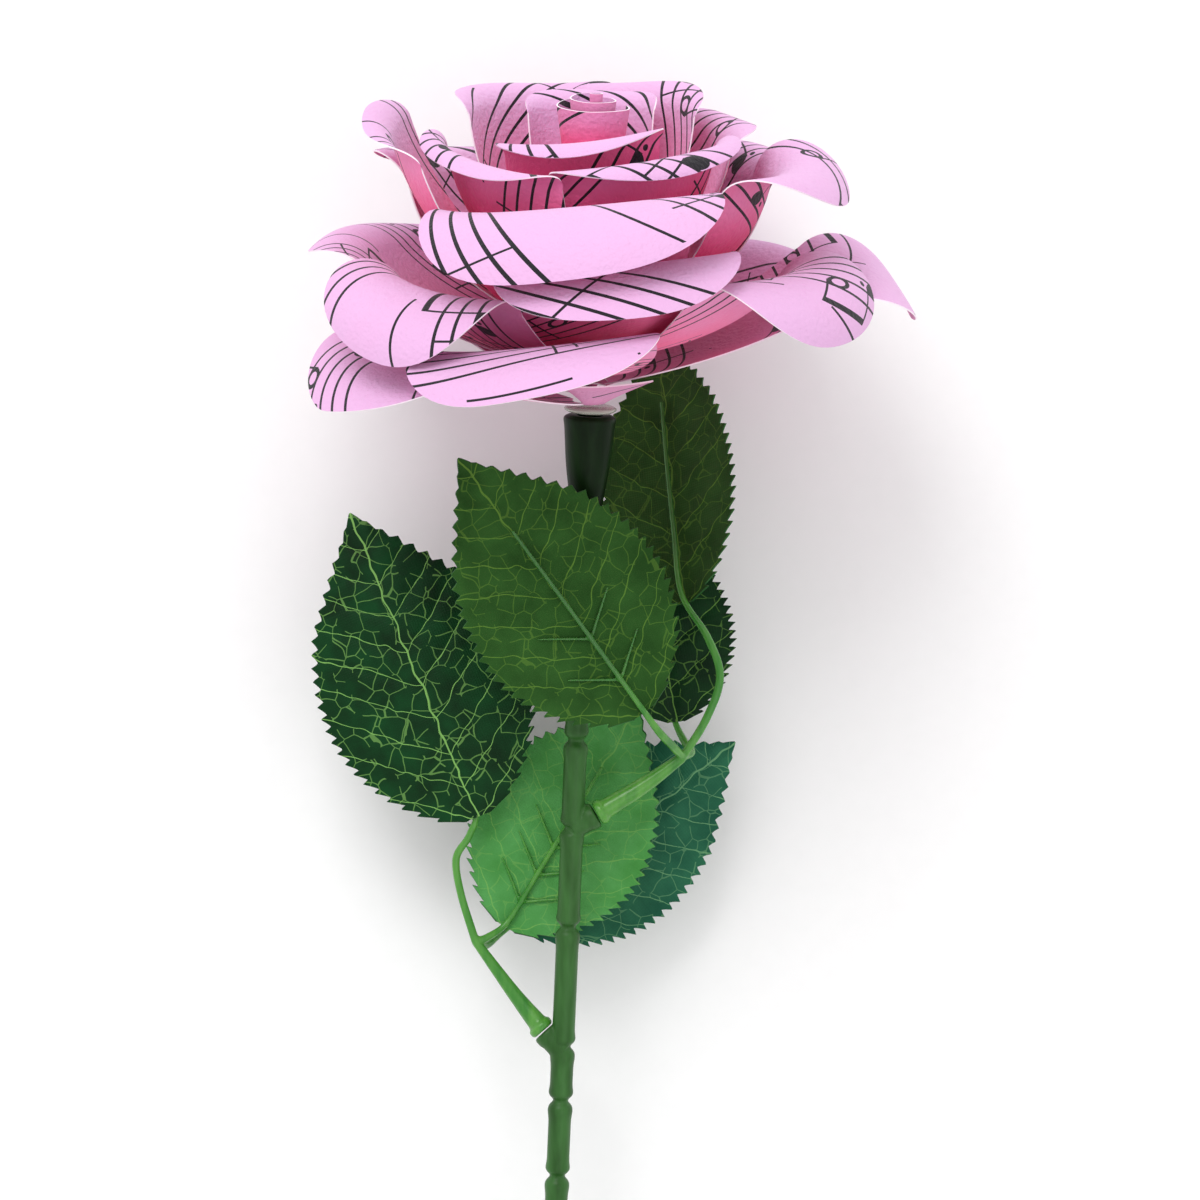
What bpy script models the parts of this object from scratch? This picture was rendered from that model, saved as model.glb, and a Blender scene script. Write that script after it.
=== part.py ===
"""A paper rose on a plastic stem, lying at rest on its side, in metres with +Z up.

The bloom is made of single curled paper petals, stacked on the stem's spike from the
outside inwards, around one rolled strip. A receptacle cup and a bead of clear glue join
it to a moulded stem, and two plug-in sprays carry three leaves each. The flower rests on
its two rear outer petals and on the cut end of the stem.
"""

import math

import bmesh
import bpy
import numpy as np
from mathutils import Matrix, Vector

MM = 0.001
GAP = 0.3 * MM

# Place of the whole flower on the surface that it lies on.
REST_SHIFT = Vector((-3.64 * MM, 93.26 * MM, 0))
BASE_HEIGHT = 46.35 * MM  # the foot of the bloom above the surface
BLOOM_TILT = 15  # degrees that the bloom's axis rises from the surface
STEM_LEAN = 2.5  # degrees that the stem leans to one side

# Paper petals
PAPER = 0.5 * MM
PETAL_FOOT = 3.2 * MM  # radius at which every petal starts
FIRST_FOOT = 2.6 * MM  # height of the outermost petal's foot
FOOT_STEP = 1.15 * MM  # each petal further in starts this much higher
WALL_SHARE = 0.42  # share of a petal's rows that its wall takes
FOOT_WIDTH = 2.4 * MM  # half width of a petal at its foot
CORNER = 0.14  # share of the flap's length that is left at a petal's corners

# Name, bearing from the front (degrees), fold radius, fold height, half width, flap
# length, curl radius (mm), roundness of the rim, slant, and how far the wall bellies
# out: 0 for a flat outer petal, 1 for an upright one. The list runs from the outside in.
PETALS = (
    ("petal_front_left_low", -64, 38.0, 13.0, 19, 17, 11.0, 1.3, 0.00, 0.0),
    ("petal_rear_left_low", -149, 39.0, 20.0, 21, 17, 8.1, 2.4, 0.00, 0.0),
    ("petal_rear_right_low", 150, 39.3, 21.0, 20.5, 19, 9.0, 2.4, 0.00, 0.0),
    ("petal_right_low", 95, 43.5, 24.6, 17.5, 20, 10.0, 1.3, 0.02, 0.1),
    ("petal_front_low", -14, 40.0, 20.0, 20, 18, 11.0, 2.4, 0.03, 0.0),
    ("petal_left_low", -111, 39.5, 25.5, 21, 16, 8.0, 1.6, 0.02, 0.6),
    ("petal_front_left", -47, 34.5, 25.5, 17, 24, 9.0, 2.4, -0.02, 0.7),
    ("petal_front_right", 56, 34.5, 26.5, 17, 24, 9.0, 2.4, 0.03, 0.7),
    ("petal_rear_low", 178, 34.0, 27.0, 22, 14, 7.0, 2.0, 0.00, 0.6),
    ("petal_front_mid", 7, 31.5, 27.5, 18, 24, 9.5, 2.2, 0.03, 1.0),
    ("petal_rear_left", -134, 33.0, 38.0, 21, 14, 6.0, 2.0, 0.03, 1.0),
    ("petal_rear_right", 130, 32.0, 38.0, 20, 14, 6.0, 2.0, -0.03, 1.0),
    ("petal_front", -6, 28.5, 35.5, 21, 31, 11.0, 2.4, 0.03, 1.0),
    ("petal_left_upright", -84, 35.0, 48.5, 17, 7, 5.0, 2.4, -0.03, 0.8),
    ("petal_right", 73, 31.5, 41.5, 17, 19, 7.5, 1.8, 0.02, 1.0),
    ("petal_rear", 172, 27.5, 44.0, 20, 12, 5.0, 2.0, 0.00, 1.0),
    ("petal_inner_left", -48, 25.5, 46.0, 17, 9, 4.0, 2.0, -0.07, 1.0),
    ("petal_inner_right", 112, 25.0, 47.0, 16, 8, 4.0, 1.6, -0.04, 1.0),
    ("petal_inner_front", 32, 22.0, 46.0, 19, 10, 3.8, 2.0, 0.08, 1.0),
    ("petal_inner_rear_left", -146, 22.0, 51.5, 18, 8, 4.0, 2.0, 0.00, 1.0),
    ("petal_inner_rear_right", 146, 19.5, 51.5, 16, 8, 4.0, 2.0, 0.0, 1.0),
    ("petal_heart_front", -10, 16.0, 48.5, 16, 8, 3.2, 2.0, 0.09, 1.0),
    ("petal_heart_rear", 176, 12.5, 52.0, 14, 5, 3.0, 2.0, 0.00, 1.0),
)
PETAL_COLUMNS, PETAL_ROWS = 8, 7

# Handling has pushed the bloom a little out of round: its width and height vary with the
# bearing by these shares and millimetres.
OVAL, LOBES, WAVE = 0.04, 0.02, 1.8
WAVE_REACH = 45.0

# Rolled strip at the heart
BUD_FOOT, BUD_TOP = 31.0 * MM, 57.0 * MM
BUD_INNER, BUD_PITCH, BUD_TURNS = 1.6 * MM, 2.4 * MM, 2.3
BUD_TAPER = 0.45  # the roll's foot is this share of its top

# Stem, in millimetres along it from the bloom's foot down
STEM_LENGTH = 250 * MM
STEM_RADIUS = 2.05 * MM
NECK = 0.86  # a joint's neck is this share of the stem's radius
SWELL = 1.12  # and the shoulder over it this much wider
JOINTS = (58, 74, 92, 114, 124, 138, 154, 172, 190, 210, 230)  # millimetres down
STEM_TOP = 1.0 * MM
STEM_STEPS = 14

CUP_TOP_RADIUS, CUP_FOOT_RADIUS, CUP_LENGTH = 4.4 * MM, 2.9 * MM, 17.5 * MM
CUP_BORE = STEM_RADIUS + GAP
BEAD_RADIUS, BEAD_HEIGHT = 4.6 * MM, 1.6 * MM

LEAF = 0.45 * MM  # thickness of a leaf
LEAF_ROWS, LEAF_COLUMNS, LEAF_TEETH = 26, 4, 13
TOOTH = 0.07  # depth of a tooth as a share of the half width
RIB_RADIUS = 0.55 * MM
RIB_SHARE = 0.72  # the moulded rib runs this share of the leaf

# Name, foot and tip (mm from the bloom's foot: right, up, over the surface), half width,
# roll about the midrib (degrees), rise of the middle (mm), fold along the midrib, and
# the side on which the moulded rib lies (+1 faces up).
LEAVES = (
    ("leaf_front", (9.8, -52.5, 43.0), (-23.1, -7.5, 52.5), 17.0, -4, 1.5, 0.10, 1),
    ("leaf_upper_right", (17.0, -33.4, 32.0), (12.6, 17.0, 16.0), 13.0, 32, 1.0, 0.12, 1),
    ("leaf_small_right", (15.4, -54.6, 25.0), (9.0, -16.0, 15.5), 12.0, -14, 1.0, 0.10, -1),
    ("leaf_left", (-19.8, -71.6, 27.0), (-43.0, -16.6, 28.0), 18.0, 4, 2.5, -0.14, -1),
    ("leaf_middle", (-15.5, -91.5, 21.5), (9.0, -51.0, 25.0), 15.5, 6, -1.0, 0.10, 1),
    ("leaf_lower_right", (-14.0, -91.0, 15.5), (26.4, -57.9, 14.0), 15.0, 0, 1.5, -0.10, -1),
)

# Petioles: points (mm, as above) with a radius each. The stalk starts at its socket on the
# stem, and each branch carries on as the rib of its leaf. A spray is one moulding.
SOCKETS = {"spray_right": (74, (0.87, 0.49, 0.05)), "spray_left": (115, (-0.67, 0.74, -0.02))}
SOCKET_RADIUS, SOCKET_REACH = 2.4 * MM, 4.8 * MM
STALK_RADIUS = 1.9
STALKS = {
    "spray_right": ((9.5, -65.2, 33.4, 1.5), (16.4, -60.2, 34.0, 0.95)),
    "spray_left": ((-13.5, -103.0, 25.0, 1.3), (-20.6, -93.4, 24.5, 0.8)),
}
BRANCHES = {
    "spray_right": (
        ("leaf_upper_right", (20.6, -53.4, 34.0, 0.75), (23.0, -46.0, 34.8, 0.75),
         (20.8, -39.0, 34.4, 0.7)),
        ("leaf_front", (14.4, -58.0, 38.0, 0.75), (12.0, -55.4, 42.2, 0.7)),
        ("leaf_small_right", (18.0, -59.4, 30.0, 0.75), (16.8, -57.6, 25.8, 0.7)),
    ),
    "spray_left": (
        ("leaf_left", (-23.2, -84.9, 24.5, 0.7), (-24.0, -78.6, 24.8, 0.7),
         (-21.6, -74.4, 25.4, 0.65)),
        ("leaf_middle", (-18.4, -92.8, 24.0, 0.7)),
        ("leaf_lower_right", (-18.8, -94.6, 19.0, 0.7), (-16.4, -92.8, 14.0, 0.65)),
    ),
}
FORK_RADIUS = 1.15 * MM


def linear(hex_colour):
    """The linear values of a colour written as #rrggbb."""
    channels = [int(hex_colour[i:i + 2], 16) / 255 for i in (1, 3, 5)]
    return [c / 12.92 if c <= 0.04045 else ((c + 0.055) / 1.055) ** 2.4 for c in channels] + [1.0]


def material(name, colour, roughness, transmission=0.0):
    made = bpy.data.materials.new(name)
    made.use_nodes = True
    shader = made.node_tree.nodes["Principled BSDF"]
    shader.inputs["Base Color"].default_value = linear(colour)
    shader.inputs["Roughness"].default_value = roughness
    shader.inputs["Metallic"].default_value = 0.0
    shader.inputs["Transmission Weight"].default_value = transmission
    return made


def place(name, mesh, look, parent):
    """Puts a mesh in the flower's collection, with its own material, under its parent."""
    piece = bpy.data.objects.new(name, mesh)
    mesh.materials.append(look)
    piece.parent = parent
    bpy.data.collections["paper_rose"].objects.link(piece)
    return piece


def sheet(name, columns, rows, shape, thickness, look, parent):
    """A grid whose two parameters, -1 to 1 across and 0 to 1 along, go through shape."""
    cage = bmesh.new()
    bmesh.ops.create_grid(cage, x_segments=columns, y_segments=rows, size=1)
    mesh = bpy.data.meshes.new(name)
    cage.to_mesh(mesh)
    cage.free()
    flat = np.empty(len(mesh.vertices) * 3)
    mesh.vertices.foreach_get("co", flat)
    across, along, _ = flat.reshape(-1, 3).T
    mesh.vertices.foreach_set("co", shape(across, (along + 1) / 2).ravel())
    mesh.shade_smooth()
    piece = place(name, mesh, look, parent)
    wall = piece.modifiers.new("thickness", "SOLIDIFY")
    wall.thickness = thickness
    wall.offset = 0
    return piece


def curl(size, radius, lean):
    """How far out and up a roll carries a sheet that enters it leaning at that angle."""
    turned = lean - size / radius
    return radius * (np.sin(lean) - np.sin(turned)), radius * (np.cos(turned) - np.cos(lean))


def settled(out, angle, up):
    """Points of the bloom, in metres, after handling has pushed it out of round."""
    up = up + WAVE * (out / WAVE_REACH) ** 2 * np.sin(3 * angle + 0.8)
    out = out * (1 + OVAL * np.cos(2 * angle - 0.5) + LOBES * np.cos(5 * angle))
    return np.stack([out * np.sin(angle), -out * np.cos(angle), up], axis=1) * MM


def petal_shape(index, bearing, fold, top, half, flap, roll, roundness, slant, belly):
    """A wall that bellies out from the foot to the fold, then a flap rolled outwards."""
    foot = FIRST_FOOT / MM + index * FOOT_STEP / MM
    start = PETAL_FOOT / MM
    bend_out = start + (0.55 + 0.3 * belly) * (fold - start)
    bend_up = foot + (0.36 - 0.06 * belly) * (top - foot)
    lean = math.atan2(top - bend_up, fold - bend_out)

    def shape(across, along):
        wall = np.clip(along / WALL_SHARE, 0, 1)
        rolled = np.clip((along - WALL_SHARE) / (1 - WALL_SHARE), 0, 1)
        out = (1 - wall) ** 2 * start + 2 * wall * (1 - wall) * bend_out + wall**2 * fold
        up = (1 - wall) ** 2 * foot + 2 * wall * (1 - wall) * bend_up + wall**2 * top
        rim = flap * (CORNER + (1 - CORNER) * np.sqrt(1 - np.abs(across) ** roundness))
        more_out, more_up = curl(rolled * rim, roll, lean)
        width = FOOT_WIDTH / MM + (half - FOOT_WIDTH / MM) * np.sin(wall * math.pi / 2) ** 0.9
        angle = math.radians(bearing) + across * width / out
        out, up = out + more_out, up + more_up
        return settled(out, angle, up + slant * out * across)

    return shape


def bud_shape(across, along):
    """A strip wound into a loose roll that narrows towards its foot."""
    turn = (across + 1) / 2 * BUD_TURNS
    out = (BUD_INNER + BUD_PITCH * turn) * (BUD_TAPER + (1 - BUD_TAPER) * along)
    angle = turn * 2 * math.pi
    up = BUD_FOOT + (BUD_TOP - BUD_FOOT - 1.2 * MM * turn) * along
    return np.stack([out * np.sin(angle), -out * np.cos(angle), up], axis=1)


class LeafFrame:
    """Where a leaf lies: its midrib, the way across it and the way out of its face."""

    def __init__(self, foot, tip, half, roll, rise, fold):
        self.foot, self.half, self.rise, self.fold = np.array(foot), half, rise, fold
        self.way = np.array(tip) - self.foot
        self.length = np.linalg.norm(self.way)
        side = np.cross(self.way / self.length, (0, 0, 1))
        side /= np.linalg.norm(side)
        face = np.cross(side, self.way / self.length)
        angle = math.radians(roll)
        self.side = side * math.cos(angle) + face * math.sin(angle)
        self.face = face * math.cos(angle) - side * math.sin(angle)

    def at(self, along, aside, over=0.0):
        """Points at a share of the midrib, mm to its side and mm over the face, in metres."""
        over = over + self.rise * np.sin(along * math.pi) + self.fold * np.abs(aside)
        return (
            self.foot + along[:, None] * self.way + aside[:, None] * self.side
            + over[:, None] * self.face
        ) * MM

    def shape(self, across, along):
        """An egg-shaped blade, widest below its middle, with saw teeth along its edges."""
        along = 0.01 + 0.985 * along
        egg = np.sin(math.pi * along**0.8) ** 0.8
        teeth = 1 + 2 * TOOTH * ((along - 0.01) / 0.985 * LEAF_TEETH % 1)
        return self.at(along, across * self.half * egg * teeth)


def smooth_route(points, steps):
    """A Catmull-Rom curve through the points, as (x, y, z, radius) rows."""
    points = np.array(points, float)
    ends = np.concatenate([[2 * points[0] - points[1]], points, [2 * points[-1] - points[-2]]])
    t = (np.arange(steps) / steps)[:, None]
    rows = [
        b + 0.5 * t * (c - a + t * (2 * a - 5 * b + 4 * c - d + t * (3 * (b - c) + d - a)))
        for a, b, c, d in zip(ends, ends[1:], ends[2:], ends[3:])
    ]
    return np.concatenate(rows + [points[-1:]])


def tube(name, points, steps, look, parent):
    """A tapered rod along a smooth route, as a closed mesh."""
    route = smooth_route(points, steps)
    curve = bpy.data.curves.new(name, "CURVE")
    curve.dimensions = "3D"
    curve.bevel_depth = MM
    curve.bevel_resolution = 2
    curve.use_fill_caps = True
    spline = curve.splines.new("POLY")
    spline.points.add(len(route) - 1)
    for point, (x, y, z, radius) in zip(spline.points, route):
        point.co = (x * MM, y * MM, z * MM, 1)
        point.radius = radius
    guide = bpy.data.objects.new(name + "_guide", curve)
    bpy.context.scene.collection.objects.link(guide)
    mesh = bpy.data.meshes.new_from_object(
        guide.evaluated_get(bpy.context.evaluated_depsgraph_get())
    )
    bpy.data.objects.remove(guide)
    bpy.data.curves.remove(curve)
    weld(mesh)
    return place(name, mesh, look, parent)


def weld(mesh):
    cage = bmesh.new()
    cage.from_mesh(mesh)
    bmesh.ops.remove_doubles(cage, verts=cage.verts, dist=MM / 1000)
    bmesh.ops.recalc_face_normals(cage, faces=cage.faces)
    cage.to_mesh(mesh)
    cage.free()


def turned(name, profile, look, parent):
    """A profile of (radius, height) points spun about its own +Z."""
    cage = bmesh.new()
    points = [cage.verts.new((radius, 0, height)) for radius, height in profile]
    for a, b in zip(points, points[1:]):
        cage.edges.new((a, b))
    mesh = bpy.data.meshes.new(name)
    cage.to_mesh(mesh)
    cage.free()
    piece = place(name, mesh, look, parent)
    spin = piece.modifiers.new("spin", "SCREW")
    spin.steps = spin.render_steps = STEM_STEPS
    spin.use_merge_vertices = True
    spin.merge_threshold = MM / 1000
    spin.use_smooth_shade = True
    return piece


def join(piece, *others):
    """Unites the others with the piece into one closed body, and removes them."""
    bin_of_cutters = bpy.data.collections["joined_shapes"]
    for other in others:
        union = piece.modifiers.new("join_" + other.name, "BOOLEAN")
        union.operation = "UNION"
        union.solver = "EXACT"
        union.object = other
        bpy.data.collections["paper_rose"].objects.unlink(other)
        bin_of_cutters.objects.link(other)
        other.hide_render = True
        other.display_type = "WIRE"


def make_bloom(bloom):
    paper = {
        "outer": material("pink_paper_outer", "#e7a3cf", 0.85),
        "inner": material("pink_paper_inner", "#ee7fae", 0.85),
    }
    for index, (name, *shape) in enumerate(PETALS):
        look = paper["outer" if index < 12 else "inner"].copy()
        look.name = name + "_paper"
        sheet(name, PETAL_COLUMNS, PETAL_ROWS, petal_shape(index, *shape), PAPER, look, bloom)
    roll = material("rolled_paper", "#f05c98", 0.85)
    sheet("bud_roll", 32, 3, bud_shape, PAPER, roll, bloom)


def stem_profile():
    """Segments that end in a rounded shoulder over a narrower neck, from top to cut end."""
    r = STEM_RADIUS
    profile = [(0, -STEM_TOP), (0.8 * r, -STEM_TOP), (r, -STEM_TOP - 0.5 * MM)]
    for joint in JOINTS:
        down = -joint * MM
        profile += [(r, down + 3.2 * MM), (SWELL * r, down + 1.0 * MM),
                    (NECK * r, down), (r, down - 1.2 * MM)]
    return profile + [(r, -STEM_LENGTH), (0, -STEM_LENGTH)]


def make_stem(stem):
    green = material("moulded_green_plastic", "#3f6b35", 0.4)
    shaft = turned("stem", stem_profile(), green, stem)
    up = stem.matrix_world.to_3x3().transposed()
    for name, (down, way) in SOCKETS.items():
        foot = Vector((0, 0, -down * MM))
        mouth = foot + up @ Vector(way).normalized() * SOCKET_REACH
        ends = [(*(point / MM), SOCKET_RADIUS / MM) for point in (foot, mouth)]
        join(shaft, tube("socket_" + name, ends, 1, green, stem))

    r0, r1 = CUP_TOP_RADIUS, CUP_FOOT_RADIUS
    cup = [(CUP_BORE, 0), (r0 - 0.5 * MM, 0), (r0 + 0.2 * MM, -0.6 * MM), (r0, -2.6 * MM),
           (0.5 * (r0 + r1) + 0.2 * MM, -9 * MM), (r1, -CUP_LENGTH + 2 * MM),
           (r1 - 0.2 * MM, -CUP_LENGTH), (CUP_BORE, -CUP_LENGTH), (CUP_BORE, 0)]
    turned("receptacle_cup", cup, material("dark_green_plastic", "#1c3a16", 0.45), stem)
    low, high, r = GAP, GAP + BEAD_HEIGHT, BEAD_RADIUS
    bead = [(0, high), (0.45 * r, high), (0.8 * r, 0.75 * high), (r, 0.45 * high),
            (0.9 * r, low), (0, low)]
    glue = material("clear_hot_glue", "#d9e6cf", 0.15, transmission=0.8)
    turned("glue_bead", bead, glue, stem)


def make_leaves(flower, stem):
    leaves = {}
    for name, *numbers, side in LEAVES:
        frame = LeafFrame(*numbers)
        leaves[name] = frame, side
        cloth = material(name + "_cloth", "#2b5a2c" if side > 0 else "#0f3d18", 0.6)
        sheet(name, LEAF_COLUMNS, LEAF_ROWS, frame.shape, LEAF, cloth, flower)

    for name, branches in BRANCHES.items():
        plastic = material(name + "_plastic", "#5d8a45", 0.35)
        down, way = SOCKETS[name]
        reach = Vector(way).normalized() * (SOCKET_REACH + GAP)
        root = (stem.matrix_world @ Vector((0, 0, -down * MM)) + reach
                - Vector(flower.location)) / MM
        stalk = tube(name, ((*root, STALK_RADIUS), *STALKS[name]), 4, plastic, flower)
        fork = STALKS[name][-1]
        knot = Vector(fork[:3]) * MM
        ball = bmesh.new()
        bmesh.ops.create_uvsphere(ball, u_segments=10, v_segments=6, radius=FORK_RADIUS,
                                  matrix=Matrix.Translation(knot))
        mesh = bpy.data.meshes.new("knot_" + name)
        ball.to_mesh(mesh)
        ball.free()
        parts = [place("knot_" + name, mesh, plastic, flower)]
        for leaf, *points in branches:
            frame, side = leaves[leaf]
            over = side * (LEAF / 2 + RIB_RADIUS + GAP) / MM
            share = np.array([0.04, 0.25, 0.5, RIB_SHARE])
            rib = frame.at(share, np.zeros(4), over) / MM
            radius = np.interp(share, [0, 1], [RIB_RADIUS / MM, 0.3])
            route = [(*fork[:3], 0.75), *points, *np.column_stack([rib, radius])]
            parts.append(tube("rib_" + leaf, route, 3, plastic, flower))
        join(stalk, *parts)


def main():
    for leftover in list(bpy.data.objects):
        bpy.data.objects.remove(leftover)
    for name in ("paper_rose", "joined_shapes"):
        group = bpy.data.collections.new(name)
        bpy.context.scene.collection.children.link(group)

    flower = bpy.data.objects.new("flower", None)
    flower.location = REST_SHIFT
    bloom = bpy.data.objects.new("bloom", None)
    bloom.parent = flower
    bloom.location = (0, 0, BASE_HEIGHT)
    bloom.rotation_euler = (math.radians(BLOOM_TILT - 90), 0, 0)
    stem = bpy.data.objects.new("stem_axis", None)
    stem.parent = flower
    stem.location = (0, 0, BASE_HEIGHT)
    slope = math.asin(BASE_HEIGHT / math.hypot(STEM_LENGTH, STEM_RADIUS))
    slope -= math.atan2(STEM_RADIUS, STEM_LENGTH)
    lean = math.radians(STEM_LEAN)
    up_stem = Vector((math.sin(lean) * math.cos(slope), math.cos(lean) * math.cos(slope),
                      math.sin(slope)))
    stem.rotation_euler = Vector((0, 0, 1)).rotation_difference(up_stem).to_euler()
    for empty in (flower, bloom, stem):
        bpy.data.collections["paper_rose"].objects.link(empty)
    bpy.context.view_layer.update()

    make_bloom(bloom)
    make_stem(stem)
    make_leaves(flower, stem)


main()
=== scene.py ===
# %% [markdown]
# # A curled paper rose
# A rose is rolled and glued from single pink paper petals printed with staves and notes,
# and put on a jointed plastic stem with two plug-in sprays of cloth leaves. It can't stand,
# so it lies on the table: on two rear petals and the cut end of its stem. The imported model
# is the frame: each sheet below is worked out by the rule that shaped its plain solid, only
# finer, and stands in its place.

# %% Load the frame
import math

import bpy
import numpy as np
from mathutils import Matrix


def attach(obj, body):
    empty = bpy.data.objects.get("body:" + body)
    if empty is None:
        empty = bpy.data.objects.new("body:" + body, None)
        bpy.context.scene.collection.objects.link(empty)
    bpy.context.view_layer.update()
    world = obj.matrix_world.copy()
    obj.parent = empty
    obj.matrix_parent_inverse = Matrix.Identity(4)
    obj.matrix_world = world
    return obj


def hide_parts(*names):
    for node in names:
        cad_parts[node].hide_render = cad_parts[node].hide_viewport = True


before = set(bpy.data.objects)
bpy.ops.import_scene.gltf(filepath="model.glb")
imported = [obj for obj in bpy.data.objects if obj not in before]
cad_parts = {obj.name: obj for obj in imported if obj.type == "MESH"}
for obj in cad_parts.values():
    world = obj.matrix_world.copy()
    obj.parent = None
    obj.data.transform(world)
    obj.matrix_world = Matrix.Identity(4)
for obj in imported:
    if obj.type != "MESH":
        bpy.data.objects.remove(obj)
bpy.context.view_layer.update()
MM = 0.001
print("the frame holds", len(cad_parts), "nodes")

# %% [markdown]
# ## One way to add a node, one way to read a colour
# A material is a small graph of nodes. One function adds any node with its settings and its
# links. A socket may also be given as a tuple such as ("ADD", a, b): that adds the Math node
# too, so a pattern reads as a formula. Colours are written as they are on a paint card, in
# sRGB, and are turned to the linear values that light adds up in.

# %% Node and colour helpers
def add(tree, kind, sockets, out=0, **settings):
    """Adds a node, sets it, links or fills its sockets, and gives back one output."""
    made = tree.nodes.new("ShaderNode" + kind)
    for name, value in settings.items():
        setattr(made, name, value)
    for key, value in sockets.items():
        if isinstance(value, tuple) and isinstance(value[0], str):
            value = add(tree, "Math", dict(enumerate(value[1:])), operation=value[0])
        if isinstance(value, bpy.types.NodeSocket):
            tree.links.new(value, made.inputs[key])
        else:
            made.inputs[key].default_value = value
    return made.outputs[out]


def linear(colour):
    """The linear red, green, blue and alpha of an sRGB colour written as #rrggbb."""
    channels = np.array([int(colour[i:i + 2], 16) for i in (1, 3, 5)]) / 255
    low, high = channels / 12.92, ((channels + 0.055) / 1.055) ** 2.4
    return (*np.where(channels <= 0.04045, low, high), 1.0)


def blank(name, **sockets):
    """A material with only a Principled shader and an output, and those sockets set."""
    made = bpy.data.materials.new(name)
    made.use_nodes = True
    tree = made.node_tree
    shader = tree.nodes["Principled BSDF"]
    for key, value in sockets.items():
        shader.inputs[key.replace("_", " ")].default_value = value
    return made, tree, shader


# %% [markdown]
# ## Sheets and rods as surfaces
# Paper and cloth are sheets: a grid of points through the middle of the sheet, pushed out
# by half its thickness on both sides and closed round its edge. A Solidify modifier would
# do that too, but building both sides at once lets each side and the cut edge have its own
# material and print. Rods are rings carried along a path.

# %% Mesh helpers
SHARP = 50  # degrees between two faces from which their edge is shaded sharp


def put(name, points, faces, slots, looks, uv=None, depth=None, sharp=SHARP):
    """Makes an object of whole arrays: points, quads, a material index for each quad."""
    mesh = bpy.data.meshes.new(name)
    mesh.from_pydata(points.reshape(-1, 3) * MM, [], faces.tolist())
    for look in looks:
        mesh.materials.append(look)
    mesh.polygons.foreach_set("material_index", slots.astype(np.int32))
    # how far down between the layers a point lies, kept to paint shade and light through the sheets
    # into the paper's colour
    if depth is not None:
        kept = mesh.attributes.new("depth", "FLOAT", "POINT")
        kept.data.foreach_set("value", depth.astype(np.float32).ravel())
    if uv is not None:
        corner = np.empty(len(mesh.loops), np.int32)
        mesh.loops.foreach_get("vertex_index", corner)
        for layer, values in uv.items():
            made = mesh.uv_layers.new(name=layer)
            made.uv.foreach_set("vector", values.reshape(-1, 2)[corner].astype(np.float32).ravel())
    mesh.shade_smooth()
    mesh.set_sharp_from_angle(angle=math.radians(sharp))
    mesh.validate()
    piece = bpy.data.objects.new(name, mesh)
    bpy.context.scene.collection.objects.link(piece)
    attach(piece, "root")
    return piece


def quads(rows, columns):
    """The quads of a grid whose points run column by column along each row."""
    index = np.arange(rows * columns).reshape(rows, columns)
    corners = index[:-1, :-1], index[:-1, 1:], index[1:, 1:], index[1:, :-1]
    return np.stack([c.ravel() for c in corners], axis=1)


def across_and_along(rows, columns):
    """The two parameters of a sheet: -1 to 1 across it and 0 to 1 along it."""
    return np.meshgrid(np.linspace(-1, 1, columns), np.linspace(0, 1, rows))


def face_normals(points):
    """Unit normals of a grid: the way across it crossed with the way along it."""
    normal = np.cross(np.gradient(points, axis=1), np.gradient(points, axis=0))
    return normal / np.maximum(np.linalg.norm(normal, axis=2, keepdims=True), 1e-9)


def both_sides(points, thickness):
    """Points and quads of a closed sheet, with material 0 out of the normal's side,
    1 on the other side, and 2 round the cut edge."""
    rows, columns, _ = points.shape
    out = face_normals(points) * thickness / 2
    count = rows * columns
    front = quads(rows, columns)
    index = np.arange(count).reshape(rows, columns)
    loop = np.concatenate([index[0], index[1:, -1], index[-1, -2::-1], index[-2:0:-1, 0]])
    ahead = np.roll(loop, -1)
    edge = np.stack([loop, loop + count, ahead + count, ahead], axis=1)
    faces = np.concatenate([front, front[:, ::-1] + count, edge])
    slots = np.repeat([0, 1, 2], [len(front), len(front), len(edge)])
    return np.stack([points + out, points - out]), faces, slots


def rod(path, radii, sides=20):
    """Rings round a path, closed at both ends: centre + radius (cos a side + sin a over)."""
    path, radii = np.asarray(path, float), np.asarray(radii, float)
    way = np.gradient(path, axis=0)
    way /= np.linalg.norm(way, axis=1, keepdims=True)
    side = np.cross(way, (0, 0, 1))
    side /= np.linalg.norm(side, axis=1, keepdims=True)
    over = np.cross(side, way)
    turn = np.linspace(0, 2 * math.pi, sides, endpoint=False)[None, :, None]
    ring = np.cos(turn) * side[:, None] + np.sin(turn) * over[:, None]
    points = (path[:, None] + radii[:, None, None] * ring).reshape(-1, 3)
    index = np.arange(len(points)).reshape(len(path), sides)
    around = np.roll(index, -1, axis=1)
    faces = np.stack([a.ravel() for a in (index[:-1], index[1:], around[1:], around[:-1])], axis=1)
    ends = len(points)
    fans = np.concatenate([
        np.stack([around[0], np.full(sides, ends), index[0]], axis=1),
        np.stack([index[-1], np.full(sides, ends + 1), around[-1]], axis=1),
    ])
    points = np.concatenate([points, path[[0]], path[[-1]]])
    return points, faces, fans


def rods(name, parts, look, sides=20):
    """Several rods as one object, such as a stalk with its branches."""
    points, faces, start = [], [], 0
    for path, radii in parts:
        ring, sleeve, caps = rod(path, radii, sides)
        points.append(ring)
        faces += (sleeve + start).tolist() + (caps + start).tolist()
        start += len(ring)
    mesh = bpy.data.meshes.new(name)
    mesh.from_pydata(np.concatenate(points) * MM, [], faces)
    mesh.materials.append(look)
    mesh.shade_smooth()
    mesh.set_sharp_from_angle(angle=math.radians(SHARP))
    piece = bpy.data.objects.new(name, mesh)
    bpy.context.scene.collection.objects.link(piece)
    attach(piece, "root")
    return piece


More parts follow.
